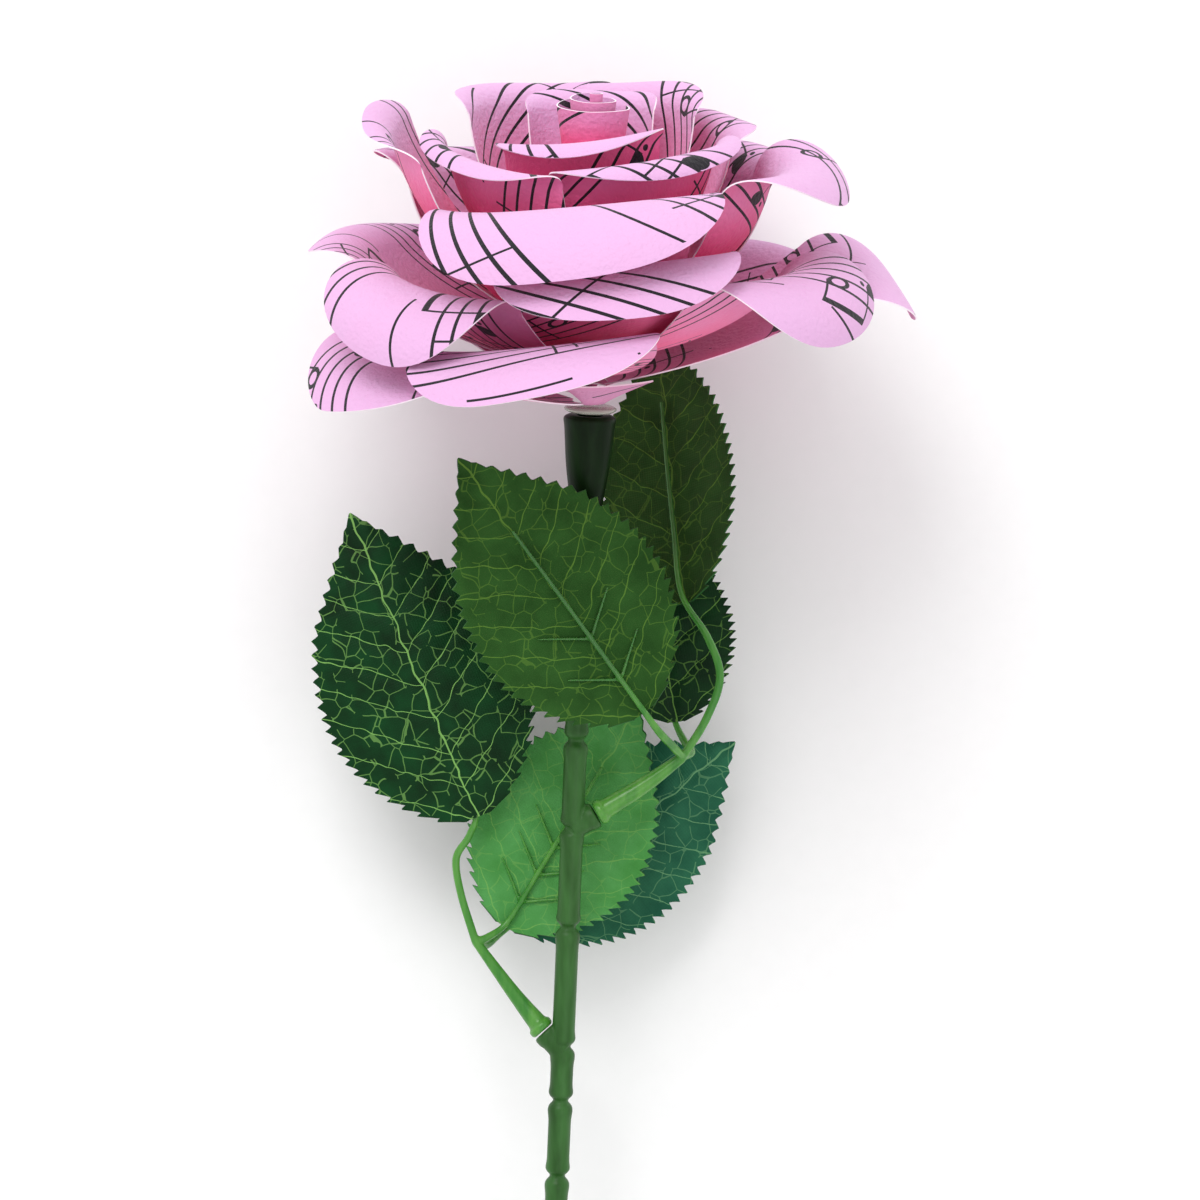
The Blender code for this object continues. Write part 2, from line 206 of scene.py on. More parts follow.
def smooth_route(points, steps):
    """A Catmull-Rom curve through rows of numbers: at t between b and c it is
    b + t/2 ((c - a) + t (2a - 5b + 4c - d) + t t (3(b - c) + d - a))."""
    points = np.array(points, float)
    ends = np.concatenate([[2 * points[0] - points[1]], points, [2 * points[-1] - points[-2]]])
    t = (np.arange(steps) / steps)[:, None]
    rows = [
        b + 0.5 * t * (c - a + t * (2 * a - 5 * b + 4 * c - d + t * (3 * (b - c) + d - a)))
        for a, b, c, d in zip(ends, ends[1:], ends[2:], ends[3:])
    ]
    return np.concatenate(rows + [points[-1:]])


# %% [markdown]
# ## The printed paper
# Printer's paper dyed pink is matt, with a felt-like tooth, and the sheet is thin enough for
# light to come through. Its printed face is a pale lilac pink; its back is a deeper pink.
# Down between the layers the colour is painted deeper, hot pink to crimson: partly the dye,
# partly painted shade and painted light that has gone through several sheets. The print is
# staves of five lines with note heads, stems, beams, slurs and bar lines. It is laid out by
# a rule of its own, a cell at a time, from white noise.

# %% Sizes of the print, in millimetres
LINE_GAP = 2.7
LINE_WIDTH = 0.52
STAVE_PITCH = 29.0
CELL = 8.5
HEAD_WIDE, HEAD_HIGH = 2.1, 1.5
TILT_COS, TILT_SIN = 0.94, 0.34  # heads are tilted by 20 degrees
STEM_HIGH = 8.5
STEM_WIDTH = 0.4
BEAM_UP, BEAM_SLOPE, BEAM_THICK = 14.3, 0.14, 1.1
MARGIN = 3.0  # how far the lowest line stands over its strip's foot
STEM_ASIDE = 0.93  # a stem stands at this share of its head's half width
DOT_ASIDE, DOT_SQUARE = 3.2, 0.3  # the second is the square of the dot's radius
BAR_BEFORE, BAR_WIDTH = 3.6, 0.4
SLUR_UP, SLUR_BOW, SLUR_WIDTH = 5.4 * LINE_GAP, 3.0, 0.44
# the chance of a bar, then the chances of no beamed pair, no note and no hollow head
BARS, PAIRS, NOTES, HOLLOW = 0.12, 0.8, 0.55, 0.7


def print_mask(tree, layer):
    """1 where there is ink and 0 on bare paper, from a map in millimetres."""
    spot = add(tree, "UVMap", {}, uv_map=layer)
    x = add(tree, "SeparateXYZ", {0: spot}, 0)
    y = add(tree, "SeparateXYZ", {0: spot}, 1)
    row, cell = ("FLOOR", ("DIVIDE", y, STAVE_PITCH)), ("FLOOR", ("DIVIDE", x, CELL))
    cy = add(tree, "Math", {0: ("FLOORED_MODULO", y, STAVE_PITCH), 1: MARGIN}, operation="SUBTRACT")
    cx = add(tree, "Math", {0: ("FLOORED_MODULO", x, CELL), 1: CELL / 2}, operation="SUBTRACT")
    chance = add(tree, "TexWhiteNoise", {0: add(tree, "CombineXYZ", {0: cell, 1: row})}, 1)
    pitch, kind, fill = (add(tree, "SeparateXYZ", {0: chance}, i) for i in range(3))
    middle, half = 2 * LINE_GAP, 2 * LINE_GAP + LINE_WIDTH / 2

    in_stave = ("COMPARE", cy, middle, half)
    lines = ("MULTIPLY", in_stave, ("LESS_THAN", ("PINGPONG", cy, LINE_GAP / 2), LINE_WIDTH / 2))

    height = ("MULTIPLY", ("FLOOR", ("MULTIPLY", pitch, 8.99)), LINE_GAP / 2)
    dy = add(tree, "Math", {0: cy, 1: height}, operation="SUBTRACT")
    u = ("DIVIDE", ("ADD", ("MULTIPLY", cx, TILT_COS), ("MULTIPLY", dy, TILT_SIN)), HEAD_WIDE)
    v = ("DIVIDE", ("SUBTRACT", ("MULTIPLY", dy, TILT_COS), ("MULTIPLY", cx, TILT_SIN)), HEAD_HIGH)
    round_ = add(tree, "Math", {0: ("MULTIPLY", u, u), 1: ("MULTIPLY", v, v)}, operation="ADD")
    hole = ("MULTIPLY", ("GREATER_THAN", fill, HOLLOW), 0.36)
    head = ("MULTIPLY", ("LESS_THAN", round_, 1.0), ("GREATER_THAN", round_, hole))
    pair = ("FLOOR", ("DIVIDE", x, 2 * CELL))
    chance = add(tree, "TexWhiteNoise", {0: add(tree, "CombineXYZ", {0: pair, 1: row, 2: 7.0})}, 0)
    paired = add(tree, "Math", {0: chance, 1: PAIRS}, operation="GREATER_THAN")
    px = add(tree, "Math", {0: ("FLOORED_MODULO", x, 2 * CELL), 1: CELL}, operation="SUBTRACT")
    over = add(tree, "Math", {0: ("MULTIPLY", px, BEAM_SLOPE), 1: BEAM_UP}, operation="ADD")
    reach = CELL / 2 + STEM_WIDTH / 2
    beam = ("MULTIPLY", ("COMPARE", cy, over, BEAM_THICK / 2),
            ("MULTIPLY", ("COMPARE", px, HEAD_WIDE * STEM_ASIDE, reach), paired))

    stem_top = add(tree, "Mix", {0: paired, 2: STEM_HIGH, 3: ("SUBTRACT", over, height)})
    stem = ("MULTIPLY", ("COMPARE", cx, HEAD_WIDE * STEM_ASIDE, STEM_WIDTH / 2),
            ("MULTIPLY", ("GREATER_THAN", dy, 0.0), ("LESS_THAN", dy, stem_top)))
    dot_x = ("SUBTRACT", cx, DOT_ASIDE)
    dot = ("LESS_THAN", ("ADD", ("MULTIPLY", dot_x, dot_x), ("MULTIPLY", dy, dy)), DOT_SQUARE)
    dot = ("MULTIPLY", dot, ("LESS_THAN", fill, 0.3))
    sounds = ("MAXIMUM", ("GREATER_THAN", kind, NOTES), paired)
    note = ("MULTIPLY", ("MAXIMUM", ("MAXIMUM", head, stem), dot), sounds)
    bar = ("MULTIPLY", ("COMPARE", cx, -BAR_BEFORE, BAR_WIDTH / 2), in_stave)
    bar = ("MULTIPLY", bar, ("LESS_THAN", kind, BARS))

    wide = 3.5 * CELL
    bow = ("SINE", ("MULTIPLY", ("DIVIDE", ("FLOORED_MODULO", x, wide), wide), math.pi))
    arc = ("ADD", SLUR_UP, ("MULTIPLY", bow, SLUR_BOW))
    slur = ("MULTIPLY", ("COMPARE", cy, arc, SLUR_WIDTH / 2),
            ("MULTIPLY", ("GREATER_THAN", bow, 0.4), ("GREATER_THAN", pitch, 0.35)))
    ink = ("MAXIMUM", ("MAXIMUM", lines, note), ("MAXIMUM", ("MAXIMUM", bar, beam), slur))
    return add(tree, "Math", {0: ink, 1: 1.0}, operation="MINIMUM")


# %% [markdown]
# ## Three looks of one sheet
# The rolled strip and every petal share three materials: the pale printed face, the deeper
# pink back, and the white core that shows as a hair line along a cut. How far a point lies
# down between the layers is stored with the sheet as an attribute, and the colour is painted
# deeper with it: painted shade and painted light through the sheets, along with the dye.

# %% Printed face, back and cut edge
INK = linear("#1b181f")
TOOTH_SIZE = 0.9  # mm between the paper's felt marks, drawn a little coarse so they show


def printed_paper(name, top, deep, deepest_shade):
    """Matt dyed paper: a diffuse colour painted deeper down between the layers as painted shade and
    light through the sheets, with black print, a tooth and faint mottling.
    """
    made, tree, shader = blank(name, Roughness=0.72, IOR=1.46, Specular_IOR_Level=0.25,
                               Sheen_Weight=0.12, Sheen_Roughness=0.6)
    # painted shade and painted light through the sheets: the colour runs from the top tone to the
    # deepest shade as the stored value grows
    depth = add(tree, "Attribute", {}, "Fac", attribute_name="depth")
    place = add(tree, "TexCoord", {}, "Object")
    cloud = add(tree, "TexNoise", {"Vector": place, "Scale": 120.0, "Detail": 2.0})
    depth = ("ADD", depth, ("MULTIPLY", ("SUBTRACT", cloud, 0.5), 0.12))
    dye = add(tree, "ValToRGB", {0: depth})
    ramp = dye.node.color_ramp
    ramp.elements[0].color, ramp.elements[1].color = linear(top), linear(deepest_shade)
    ramp.elements.new(0.55).color = linear(deep)
    ink = print_mask(tree, "print")
    colour = add(tree, "Mix", {0: ink, 6: dye, 7: INK}, 2, data_type="RGBA")
    tree.links.new(colour, shader.inputs["Base Color"])
    felt = add(tree, "TexNoise", {"Vector": place, "Scale": 1 / (TOOTH_SIZE * MM), "Detail": 3.0})
    bump = add(tree, "Bump", {"Strength": 1.0, "Distance": 0.3 * MM, "Height": felt})
    tree.links.new(bump, shader.inputs["Normal"])
    return made


# each side's top colour, then the colours painted in further down: painted shade and light through
# the sheets, partly dye
paper_face = printed_paper("dyed_paper_printed_face", "#e6b3e0", "#ee8cc0", "#f24a80")
paper_back = printed_paper("dyed_paper_back", "#dd9fcd", "#ff3d80", "#f20f3c")
paper_edge, _, _ = blank("dyed_paper_cut_edge", Base_Color=linear("#fff0fb"), Roughness=0.9)
print("paper: staves", 4 * LINE_GAP, "mm high every", STAVE_PITCH, "mm")

# %% [markdown]
# ## The bloom's own frame
# The petals are worked out as if the bloom stood upright: a bearing round its axis, a
# distance out from it and a height up it, in millimetres. Handling has pushed the real one
# a little out of round, and one smooth rule does that to all sheets at once, so that none
# is pushed through its neighbour. Last, the bloom is tipped over and set on its foot.

# %% Place of the bloom
BLOOM_FOOT = np.array((-3.64, 93.26, 46.35))
BLOOM_TILT = math.radians(15)
OVAL, LOBES, WAVE, WAVE_REACH = 0.04, 0.02, 1.8, 45.0
TIP = np.array(((1, 0, 0), (0, math.sin(BLOOM_TILT), -math.cos(BLOOM_TILT)),
                (0, math.cos(BLOOM_TILT), math.sin(BLOOM_TILT))))


def settled(out, angle, up):
    """Upright millimetres (out sin a, -out cos a, up), pushed out of round and tipped over."""
    up = up + WAVE * (out / WAVE_REACH) ** 2 * np.sin(3 * angle + 0.8)
    out = out * (1 + OVAL * np.cos(2 * angle - 0.5) + LOBES * np.cos(5 * angle))
    upright = np.stack([out * np.sin(angle), -out * np.cos(angle), up], axis=-1)
    return upright @ TIP + BLOOM_FOOT


# %% [markdown]
# ## A petal
# A petal is cut to a rounded square or to a point, wrapped round the axis, and its rim is
# rolled outwards over a pencil. Along it, the wall is a quadratic Bezier curve from the foot
# to the fold, and past the fold it follows a circle. Across it, the flap gets shorter
# towards the corners, which gives the round rim. The rows are listed from the outside in.

# %% Petal shapes
PAPER = 0.26  # mm
PETAL_FOOT, FIRST_FOOT, FOOT_STEP = 3.2, 2.6, 1.15
WALL_SHARE, FOOT_WIDTH, CORNER = 0.42, 2.4, 0.14
FLUTTER = 0.3  # how far a rim waves up and down
FULL_SHADE_AT = 18  # mm under the fold where a sheet has its deepest painted shade
BACK_SHIFT = (40, 9)  # mm from the print on one side to the print on the other
# bearing, fold radius, fold height, half width, flap, roll radius, roundness, slant, belly,
# turn of the print (degrees) and its shift along the staves and across them (mm)
# Against their plain solids, the half widths of the right low and inner rear right petals are
# 1.7 and 1 mm less, and the second has a flap 1 mm shorter: these finer sheets would
# otherwise cross a neighbour.
PETALS = {
    "petal_front_left_low": (-64, 38.0, 13.0, 19, 17, 11.0, 1.3, 0.00, 0.0, 60, 4, 2),
    "petal_rear_left_low": (-149, 39.0, 20.0, 21, 17, 8.1, 2.4, 0.00, 0.0, 20, 2, 3),
    "petal_rear_right_low": (150, 39.3, 21.0, 20.5, 19, 9.0, 2.4, 0.00, 0.0, -30, 5, 8),
    "petal_right_low": (95, 43.5, 24.6, 15.8, 20, 10.0, 1.3, 0.02, 0.1, 10, 6, -9),
    "petal_front_low": (-14, 40.0, 20.0, 20, 18, 11.0, 2.4, 0.03, 0.0, -14, 3, -14),
    "petal_left_low": (-111, 39.5, 25.5, 21, 16, 8.0, 1.6, 0.02, 0.6, 75, 8, 6),
    "petal_front_left": (-47, 34.5, 25.5, 17, 24, 9.0, 2.4, -0.02, 0.7, 88, 2, 12),
    "petal_front_right": (56, 34.5, 26.5, 17, 24, 9.0, 2.4, 0.03, 0.7, 52, 3, 6),
    "petal_rear_low": (178, 34.0, 27.0, 22, 14, 7.0, 2.0, 0.00, 0.6, 0, 0, 0),
    "petal_front_mid": (7, 31.5, 27.5, 18, 24, 9.5, 2.2, 0.03, 1.0, 35, 6, 14),
    "petal_rear_left": (-134, 33.0, 38.0, 21, 14, 6.0, 2.0, 0.03, 1.0, 50, 1, 4),
    "petal_rear_right": (130, 32.0, 38.0, 20, 14, 6.0, 2.0, -0.03, 1.0, -60, 3, 7),
    "petal_front": (-6, 28.5, 35.5, 21, 31, 11.0, 2.4, 0.03, 1.0, 62, 9, 22),
    "petal_left_upright": (-84, 35.0, 48.5, 17, 7, 5.0, 2.4, -0.03, 0.8, 80, 4, 3),
    "petal_right": (73, 31.5, 41.5, 17, 19, 7.5, 1.8, 0.02, 1.0, -35, 5, 9),
    "petal_rear": (172, 27.5, 44.0, 20, 12, 5.0, 2.0, 0.00, 1.0, 15, 2, 6),
    "petal_inner_left": (-48, 25.5, 46.0, 17, 9, 4.0, 2.0, -0.07, 1.0, 70, 3, 8),
    "petal_inner_right": (112, 25.0, 47.0, 16, 8, 4.0, 1.6, -0.04, 1.0, -50, 4, 2),
    "petal_inner_front": (32, 22.0, 46.0, 19, 10, 3.8, 2.0, 0.08, 1.0, 48, 6, 4),
    "petal_inner_rear_left": (-146, 22.0, 51.5, 18, 8, 4.0, 2.0, 0.00, 1.0, -40, 3, 5),
    "petal_inner_rear_right": (146, 19.5, 51.5, 15, 7, 4.0, 2.0, 0.0, 1.0, 65, 2, 8),
    "petal_heart_front": (-10, 16.0, 48.5, 16, 8, 3.2, 2.0, 0.09, 1.0, 55, 5, 3),
    "petal_heart_rear": (176, 12.5, 52.0, 14, 5, 3.0, 2.0, 0.00, 1.0, 30, 1, 2),
}
PETAL_ROWS, PETAL_COLUMNS = 56, 48


def petal(index, bearing, fold, top, half, flap, roll, roundness, slant, belly):
    """Middle of the sheet as a grid, the millimetres across and along it, and how deep
    it lies: out and up follow (1-w)(1-w) foot + 2w(1-w) bend + w w fold, then
    fold + roll (sin lean - sin(lean - s/roll)) and top + roll (cos(lean - s/roll) - cos lean).
    Up also gains slant out across and, with r from 0 at the fold to 1 at the rim,
    FLUTTER r r sin(5 across + 1.7 index)."""
    across, along = across_and_along(PETAL_ROWS, PETAL_COLUMNS)
    across = np.sin(across * math.pi / 2)  # columns stand closer towards the corners
    foot = FIRST_FOOT + index * FOOT_STEP
    bend_out = PETAL_FOOT + (0.55 + 0.3 * belly) * (fold - PETAL_FOOT)
    bend_up = foot + (0.36 - 0.06 * belly) * (top - foot)
    lean = math.atan2(top - bend_up, fold - bend_out)
    wall = np.clip(along / WALL_SHARE, 0, 1)
    rolled = np.clip((along - WALL_SHARE) / (1 - WALL_SHARE), 0, 1)
    out = (1 - wall) ** 2 * PETAL_FOOT + 2 * wall * (1 - wall) * bend_out + wall**2 * fold
    up = (1 - wall) ** 2 * foot + 2 * wall * (1 - wall) * bend_up + wall**2 * top
    rim = flap * (CORNER + (1 - CORNER) * np.sqrt(1 - np.abs(across) ** roundness))
    past = rolled * rim
    width = FOOT_WIDTH + (half - FOOT_WIDTH) * np.sin(wall * math.pi / 2) ** 0.9
    angle = math.radians(bearing) + across * width / out
    turned = lean - past / roll
    out = out + roll * (math.sin(lean) - np.sin(turned))
    up = up + roll * (np.cos(turned) - math.cos(lean)) + slant * out * across
    up = up + FLUTTER * rolled**2 * np.sin(5 * across + 1.7 * index)
    length = math.hypot(fold - PETAL_FOOT, top - foot)
    return settled(out, angle, up), across * width, wall * length + past, length * wall - length


def print_map(sideways, lengthways, turn, shift_x, shift_y):
    """Millimetres on the cut sheet, turned and shifted to where the staves ran on it."""
    turn = math.radians(turn)
    x = sideways * math.cos(turn) + lengthways * math.sin(turn) + shift_x
    y = lengthways * math.cos(turn) - sideways * math.sin(turn) + shift_y
    return np.stack([x, y], axis=-1)


def paper_sheet(name, points, sideways, lengthways, shade_and_dye_out, shade_and_dye_in, printing):
    """A closed paper sheet with its print on both sides and, for each side, how far down between
    the layers it lies, which paints shade and light into its colour.
    """
    shell, faces, slots = both_sides(points, PAPER)
    ink = print_map(sideways, lengthways, *printing)
    maps = {"print": np.stack([ink, ink * (-1, 1) + BACK_SHIFT])}
    looks = (paper_back, paper_face, paper_edge)
    return put(name, shell, faces, slots, looks, maps, np.stack([shade_and_dye_out, shade_and_dye_in]))


def make_petals():
    count = len(PETALS)
    for index, (name, numbers) in enumerate(PETALS.items()):
        points, sideways, lengthways, under_fold = petal(index, *numbers[:9])
        layer = index / (count - 1)
        # painted shade and light through the sheets: inner sheets and parts low under a fold are
        # painted deeper; outer sheets catch light from outside on their backs, so those are painted
        # paler
        down = np.clip(-under_fold / FULL_SHADE_AT, 0, 1)
        back_shade = np.clip(0.12 + 0.9 * layer, 0, 1) * (0.35 + 0.65 * down)
        face = down * (0.45 + 0.5 * layer)
        piece = paper_sheet(name + "_sheet", points, sideways, lengthways, back_shade, face, numbers[9:])
        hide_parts(name)
    print(count, "petals of", 2 * (PETAL_ROWS - 1) * (PETAL_COLUMNS - 1), "quads")


make_petals()

# %% [markdown]
# The front petal has a glue tab under its foot, which closes the bloom's cone where the
# outer petals leave a gap. It is a sector of a cone, with its lower end at the cup.

# %% Glue tab
TAB_FROM, TAB_TO = math.radians(-19), math.radians(50)
TAB_OUT, TAB_UP = 11.0, 5.6  # mm


def make_tab():
    """At t along it: out = foot + TAB_OUT t, up = foot + TAB_UP t^0.9; bearing runs across."""
    across, along = across_and_along(20, 40)
    angle = TAB_FROM + (TAB_TO - TAB_FROM) * (across + 1) / 2
    out = PETAL_FOOT + TAB_OUT * along
    points = settled(out, angle, FIRST_FOOT + TAB_UP * along**0.9)
    # a slight even painted shade on both sides of the tab, down under the petals
    tone = np.full_like(out, 0.1)
    piece = paper_sheet("petal_front_low_glue_tab", points, angle * out, out, tone, tone,
                        (20, 1, 12))
    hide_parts("petal_front_low")


make_tab()

# %% [markdown]
# ## The rolled strip at the heart
# The heart is one strip wound two and a bit turns, narrower at its foot than at its top, so
# the roll flares like a bud. Its outer end is glued down.

# %% Bud
BUD_FOOT, BUD_TOP = 31.0, 57.0
BUD_INNER, BUD_PITCH, BUD_TURNS, BUD_TAPER = 1.6, 2.4, 2.3, 0.45


def make_bud():
    """Distance out grows by one pitch a turn, and height falls a little with each turn."""
    across, along = across_and_along(28, 200)
    turn = (across + 1) / 2 * BUD_TURNS
    out = (BUD_INNER + BUD_PITCH * turn) * (BUD_TAPER + (1 - BUD_TAPER) * along)
    up = BUD_FOOT + (BUD_TOP - BUD_FOOT - 1.2 * turn) * along
    points = settled(out, turn * 2 * math.pi, up)
    sideways = math.pi * turn * (2 * BUD_INNER + BUD_PITCH * turn)
    lengthways = along * (BUD_TOP - BUD_FOOT)
    # painted shade and light through the turns: the roll is painted deeper towards its foot, its
    # back more so
    deep = np.clip((0.95 - along) * 2.2, 0, 1)
    piece = paper_sheet("bud_strip", points, sideways, lengthways, 0.15 + 0.7 * deep,
                        deep, (30, 3, 5))
    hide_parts("bud_roll")


make_bud()

# %% [markdown]
# ## Plastic stem, cup and glue
# The stem is injection moulded polyethylene: slim lengths that end in a swollen shoulder
# over a narrower neck, like the joints of a real stalk. The petals are threaded on its top,
# a dark cup is pushed up under them, and a bead of hot glue holds them. Each is a profile
# carried round the stem's axis. The stem and its two sockets are then remeshed into one
# skin, because a mould leaves soft fillets where rods meet, and a Boolean would not.

# %% Stem sizes and its axis
STEM_LENGTH, STEM_RADIUS, STEM_LEAN = 250.0, 2.05, math.radians(2.5)
CREASE, SHOULDER, STEM_TOP = 0.38, 0.1, 1.0
JOINTS = (58, 74, 92, 114, 124, 138, 154, 172, 190, 210, 230)  # mm down from the bloom's foot
SOCKETS = {"spray_right": (74, (0.87, 0.49, 0.05)), "spray_left": (115, (-0.67, 0.74, -0.02))}
SOCKET_RADIUS, SOCKET_REACH, GAP = 2.4, 4.8, 0.3
VOXEL = 0.24  # mm

slope = (math.asin(BLOOM_FOOT[2] / math.hypot(STEM_LENGTH, STEM_RADIUS))
         - math.atan2(STEM_RADIUS, STEM_LENGTH))
UP = np.array((math.sin(STEM_LEAN) * math.cos(slope), math.cos(STEM_LEAN) * math.cos(slope),
               math.sin(slope)))


def on_axis(heights):
    """Points on the stem's axis, at heights over the bloom's foot."""
    return BLOOM_FOOT + np.asarray(heights, float)[:, None] * UP


def moulded(name, parts, voxel, look):
    """Rods merged into one skin with soft fillets, by a voxel remesh and a light smooth."""
    piece = rods(name, parts, look)
    skin = piece.modifiers.new("skin", "REMESH")
    skin.mode, skin.voxel_size, skin.use_smooth_shade = "VOXEL", voxel * MM, True
    soften = piece.modifiers.new("fillets", "SMOOTH")
    soften.factor, soften.iterations = 0.5, 2
    graph = bpy.context.evaluated_depsgraph_get()
    mesh = bpy.data.meshes.new_from_object(piece.evaluated_get(graph))
    piece.modifiers.clear()
    piece.data = mesh
    mesh.shade_smooth()
    print(name, "has", len(mesh.polygons), "faces")
    return piece


# %% [markdown]
# Moulded polyethylene is waxy: even in colour, with a soft broad shine, and faint flow
# marks along the way that it ran in the mould. The clear bead is hot-melt glue, cloudy
# inside.

# %% Plastic and glue
SATIN = 0.5  # mm between the marks of the mould


def plastic(name, colour, second, roughness, gloss, through=0.0):
    """Two tones mixed by noise stretched along the stem, with a fine satin bump."""
    made, tree, shader = blank(name, Roughness=roughness, IOR=1.51, Specular_IOR_Level=gloss,
                               Subsurface_Weight=through,
                               Subsurface_Radius=(0.6, 1.0, 0.4), Subsurface_Scale=1.2 * MM)
    place = add(tree, "TexCoord", {}, "Object")
    on_leaf = add(tree, "Attribute", {}, "Fac", attribute_name="on_leaf")
    flow = add(tree, "Mapping", {"Vector": place, "Scale": (1.0, 0.12, 1.0)})
    streak = add(tree, "TexNoise", {"Vector": flow, "Scale": 450.0, "Detail": 3.0})
    tone = add(tree, "MapRange", {0: streak, 1: 0.3, 2: 0.7})
    colour = add(tree, "Mix", {0: tone, 6: linear(colour), 7: linear(second)}, 2,
                 data_type="RGBA")
    colour = add(tree, "Mix", {0: on_leaf, 6: colour, 7: linear("#32662a")}, 2, data_type="RGBA")
    tree.links.new(colour, shader.inputs["Base Color"])
    satin = add(tree, "TexNoise", {"Vector": flow, "Scale": 1 / (SATIN * MM), "Detail": 3.0})
    bump = add(tree, "Bump", {"Strength": 0.5, "Distance": 0.06 * MM, "Height": satin})
    tree.links.new(bump, shader.inputs["Normal"])
    return made


stem_green = plastic("moulded_polyethylene_stem", "#224b18", "#37682e", 0.4, 0.25)
cup_green = plastic("moulded_polyethylene_cup", "#051703", "#0f2a0a", 0.4, 0.12)
spray_green = plastic("moulded_polyethylene_spray", "#2f7a22", "#5a9a3c", 0.27, 0.45, 0.35)

glue, tree, shader = blank("hot_melt_glue", Roughness=0.16, IOR=1.48,
                           Transmission_Weight=0.7)
cloudy = add(tree, "TexNoise", {"Vector": add(tree, "TexCoord", {}, "Object"),
                                "Scale": 400.0, "Detail": 3.0})
milk = add(tree, "Mix", {0: cloudy, 6: linear("#d8e3cc"), 7: linear("#f4f6ec")}, 2,
           data_type="RGBA")
tree.links.new(milk, shader.inputs["Base Color"])


# %% Stem, cup and bead
def stem_parts():
    """The stem's radius is R (1 + shoulders - creases), each a bell curve on its joint."""
    along = np.linspace(-STEM_TOP, -STEM_LENGTH, 1200)
    past = along[:, None] + np.array(JOINTS)
    crease = CREASE * np.exp(-((past / 0.75) ** 2))
    shoulder = SHOULDER * (np.exp(-((past - 1.3) ** 2)) + np.exp(-(((past + 1.8) / 1.3) ** 2)))
    shape = STEM_RADIUS * (1 + (shoulder - crease).sum(axis=1))
    parts = [(on_axis(along), shape)]
    for down, way in SOCKETS.values():
        way = np.array(way) / np.linalg.norm(way)
        foot = on_axis([-down])[0]
        reach = np.array([0, 2.6, 3.4, SOCKET_REACH - 0.3, SOCKET_REACH])
        radii = SOCKET_RADIUS * np.array([0.9, 0.9, 1, 1, 0.92])
        parts.append((foot + reach[:, None] * way, radii))
    return parts


def ring_solid(name, profile, look, sides=64):
    """A closed profile of (radius, height) carried once round the stem's axis."""
    profile = np.array(profile, float)
    side = np.cross(UP, (0, 0, 1.0))
    side /= np.linalg.norm(side)
    over = np.cross(side, UP)
    turn = np.linspace(0, 2 * math.pi, sides, endpoint=False)[:, None, None]
    spoke = np.cos(turn) * side + np.sin(turn) * over
    points = BLOOM_FOOT + profile[None, :, :1] * spoke + profile[None, :, 1:] * UP
    index = np.arange(sides * len(profile)).reshape(sides, len(profile))
    around, ahead = np.roll(index, -1, 0), np.roll(index, -1, 1)
    both = np.roll(around, -1, 1)
    faces = np.stack([a.ravel() for a in (index, around, both, ahead)], axis=1)
    return put(name, points, faces, np.zeros(len(faces)), (look,), sharp=35)


stem = moulded("jointed_stem", stem_parts(), VOXEL, stem_green)
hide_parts("stem")

CUP_TOP, CUP_FOOT, CUP_LENGTH = 4.4, 2.9, 17.5
bore = STEM_RADIUS + GAP
outer = smooth_route([(CUP_TOP - 0.5, 0), (CUP_TOP + 0.2, -0.6), (CUP_TOP, -2.6),
                      ((CUP_TOP + CUP_FOOT) / 2 + 0.2, -9), (CUP_FOOT, -CUP_LENGTH + 2),
                      (CUP_FOOT - 0.2, -CUP_LENGTH)], 8)
cup = ring_solid("receptacle_cup_turned", [(bore, 0), *outer, (bore, -CUP_LENGTH)], cup_green)
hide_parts("receptacle_cup")

BEAD_RADIUS, BEAD_HIGH = 4.6, 1.6
turn = np.linspace(0.02, math.pi - 0.02, 24)
bead = rods("glue_bead_drop", [(on_axis(GAP + BEAD_HIGH * (1 - np.cos(turn)) / 2),
                                BEAD_RADIUS * np.sin(turn) ** 0.6)], glue, sides=40)
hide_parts("glue_bead")


# %% [markdown]
# ## Leaves
# Each leaf is a piece of polyester cloth, cut with saw teeth by a hot die and pressed with
# veins, so the cloth is quilted between them. Three show their dull underside with the
# moulded rib on it, and three show their darker face. The blade's half width is an egg
# shape, half sin(pi s^0.8)^0.8, drawn in to a point and with a sawtooth added. The pressed
# veins are a function of the same two parameters, so they need no extra pieces.

# %% Leaf shape
FLOWER = np.array((-3.64, 93.26, 0.0))
LEAF, TOOTH, LEAF_TEETH = 0.32, 1.7, 26
LEAF_ROWS, LEAF_COLUMNS = 250, 61
VEIN_PITCH, VEIN_SLANT = 6.5, 0.75  # mm along the midrib, and how far a vein climbs per mm
RIB_SHARE, RIB_RADIUS = 0.72, 0.55  # a rib ends at this share of the midrib
CAD_LEAF = 0.45  # the plain leaf's thickness, which sets how far a rib stands off
PILLOW = 0.42  # how far the cloth bulges between its pressed veins

# foot and tip (mm from the bloom's foot, height over the table), half width, roll, rise of
# the middle, fold along the midrib, and +1 where the ribbed underside faces up
LEAVES = {
    "leaf_front": ((9.8, -52.5, 43.0), (-23.1, -7.5, 52.5), 17.0, -4, 1.5, 0.10, 1),
    "leaf_upper_right": ((17.0, -33.4, 32.0), (12.6, 17.0, 16.0), 13.0, 32, 1.0, 0.12, 1),
    "leaf_small_right": ((15.4, -54.6, 25.0), (9.0, -16.0, 15.5), 12.0, -14, 1.0, 0.10, -1),
    "leaf_left": ((-19.8, -71.6, 27.0), (-43.0, -16.6, 28.0), 18.0, 4, 2.5, -0.14, -1),
    "leaf_middle": ((-15.5, -91.5, 21.5), (9.0, -51.0, 25.0), 15.5, 6, -1.0, 0.10, 1),
    "leaf_lower_right": ((-14.0, -91.0, 15.5), (26.4, -57.9, 14.0), 15.0, 0, 1.5, -0.10, -1),
}


